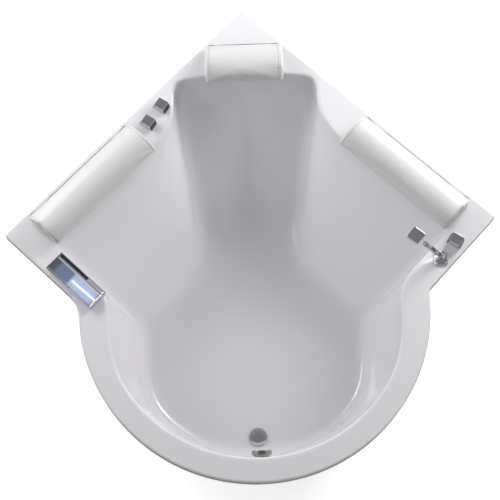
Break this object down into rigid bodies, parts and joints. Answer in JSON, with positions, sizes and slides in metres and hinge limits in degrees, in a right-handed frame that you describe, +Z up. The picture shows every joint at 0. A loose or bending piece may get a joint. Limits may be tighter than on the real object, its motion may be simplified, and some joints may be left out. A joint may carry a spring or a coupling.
{
  "type": "corner bathtub",
  "caption": "Corner bathtub for two walls: round bowl, lounger wings, back trough, head pillows, deck valves, waterfall filler, hand shower, pop-up waste.",
  "frame": {"origin": "on the floor, under the middle of the footprint", "axes": "+Y towards the corner of the room, +Z up, the round bowl stands out towards -Y"},
  "size_m": [1.9516, 1.9814, 0.748],
  "materials": {
    "acrylic": "gloss white",
    "acrylic_panel": "gloss white",
    "board": "raw particle board",
    "steel": "grey powder coat",
    "zinc": "zinc plated",
    "steel_pin": "turned",
    "chrome": "polished",
    "mirror_chrome": "mirror polished",
    "brass": "machined",
    "copper": "drawn tube",
    "rubber": "matt black",
    "black_plastic": "fine matt black",
    "white_plastic": "moulded white",
    "cushion": "smooth white soft skin over foam"
  },
  "bodies": {
    "tub": {"tub_shell": "acrylic", "base_board": "board", "frame_spine": "steel", "frame_wing_arms": "steel", "frame_cross_tube": "steel", "frame_uprights": "steel", "rim_struts": "steel", "foot_nuts": "zinc", "wall_brackets": "zinc", "apron_bowl": "acrylic_panel", "apron_wing_end_left": "acrylic_panel", "apron_wing_end_right": "acrylic_panel", "apron_clips": "black_plastic", "valve_bodies": "brass", "valve_flanges": "chrome", "valve_back_nuts": "brass", "filler_housing": "chrome", "filler_cover_plate": "mirror_chrome", "filler_baffle": "black_plastic", "filler_inlet_tail": "brass", "shower_holder": "chrome", "shower_hose_guide": "brass", "tail_nuts": "brass", "waste_flange": "chrome", "waste_gasket": "rubber", "waste_body": "white_plastic", "trap_cup": "white_plastic", "trap_outlet_pipe": "white_plastic", "overflow_body": "white_plastic", "overflow_seal": "rubber", "overflow_elbow": "white_plastic", "overflow_pipe": "white_plastic", "pull_cable": "black_plastic", "water_pipes": "copper", "pillow_left": "cushion", "pillow_right": "cushion", "pillow_back": "cushion", "pillow_studs": "black_plastic", "pillow_push_nuts": "zinc"},
    "hot_handle": {"hot_knob": "chrome", "hot_spindle": "brass"},
    "cold_handle": {"cold_knob": "chrome", "cold_spindle": "brass"},
    "diverter_handle": {"diverter_knob": "chrome", "diverter_spindle": "brass"},
    "overflow_handle": {"overflow_knob": "chrome", "overflow_spindle": "brass"},
    "plug": {"plug_cover": "chrome", "plug_seal": "rubber", "plug_stem": "brass"},
    "hand_shower": {"shower_handle": "chrome", "shower_knuckle_pin": "steel_pin"},
    "shower_head": {"shower_head_shell": "chrome", "shower_spray_plate": "black_plastic"},
    "levelling_foot_back": {"foot_back": "zinc"},
    "levelling_foot_left_wing": {"foot_left_wing": "zinc"},
    "levelling_foot_right_wing": {"foot_right_wing": "zinc"},
    "levelling_foot_middle": {"foot_middle": "zinc"},
    "levelling_foot_front_left": {"foot_front_left": "zinc"},
    "levelling_foot_front_right": {"foot_front_right": "zinc"}
  },
  "joints": [
    {"name": "hot_turn", "type": "hinge", "parent": "tub", "child": "hot_handle", "pos_m": [-0.345, 0.54475, 0.61], "axis": [0, 0, 1], "range_deg": [0, 90]},
    {"name": "cold_turn", "type": "hinge", "parent": "tub", "child": "cold_handle", "pos_m": [-0.4, 0.47075, 0.61], "axis": [0, 0, 1], "range_deg": [0, 90]},
    {"name": "diverter_turn", "type": "hinge", "parent": "tub", "child": "diverter_handle", "pos_m": [0.801, -0.08725, 0.61], "axis": [0, 0, 1], "range_deg": [0, 90]},
    {"name": "overflow_turn", "type": "hinge", "parent": "tub", "child": "overflow_handle", "pos_m": [0, -0.88809, 0.528], "axis": [0, 0.9881, 0.154], "range_deg": [0, 90]},
    {"name": "plug_lift", "type": "slide", "parent": "tub", "child": "plug", "axis": [0, 0, 1], "range_m": [0, 0.012]},
    {"name": "hand_shower_lift", "type": "slide", "parent": "tub", "child": "hand_shower", "axis": [-0.5621, 0.0752, 0.8236], "range_m": [0, 0.16]},
    {"name": "shower_head_tilt", "type": "hinge", "parent": "hand_shower", "child": "shower_head", "pos_m": [0.65, -0.13475, 0.73], "axis": [-0.6766, -0.7363, 0], "range_deg": [-25, 25]},
    {"name": "back_foot_screw", "type": "slide", "parent": "tub", "child": "levelling_foot_back", "axis": [0, 0, -1], "range_m": [0, 0.025]},
    {"name": "left_wing_foot_screw", "type": "slide", "parent": "tub", "child": "levelling_foot_left_wing", "axis": [0, 0, -1], "range_m": [0, 0.025]},
    {"name": "right_wing_foot_screw", "type": "slide", "parent": "tub", "child": "levelling_foot_right_wing", "axis": [0, 0, -1], "range_m": [0, 0.025]},
    {"name": "middle_foot_screw", "type": "slide", "parent": "tub", "child": "levelling_foot_middle", "axis": [0, 0, -1], "range_m": [0, 0.025]},
    {"name": "front_left_foot_screw", "type": "slide", "parent": "tub", "child": "levelling_foot_front_left", "axis": [0, 0, -1], "range_m": [0, 0.025]},
    {"name": "front_right_foot_screw", "type": "slide", "parent": "tub", "child": "levelling_foot_front_right", "axis": [0, 0, -1], "range_m": [0, 0.025]}
  ],
  "couplings": [
    {"joint": "plug_lift", "follows": "overflow_turn", "m_per_rad": 0.0076393}
  ]
}
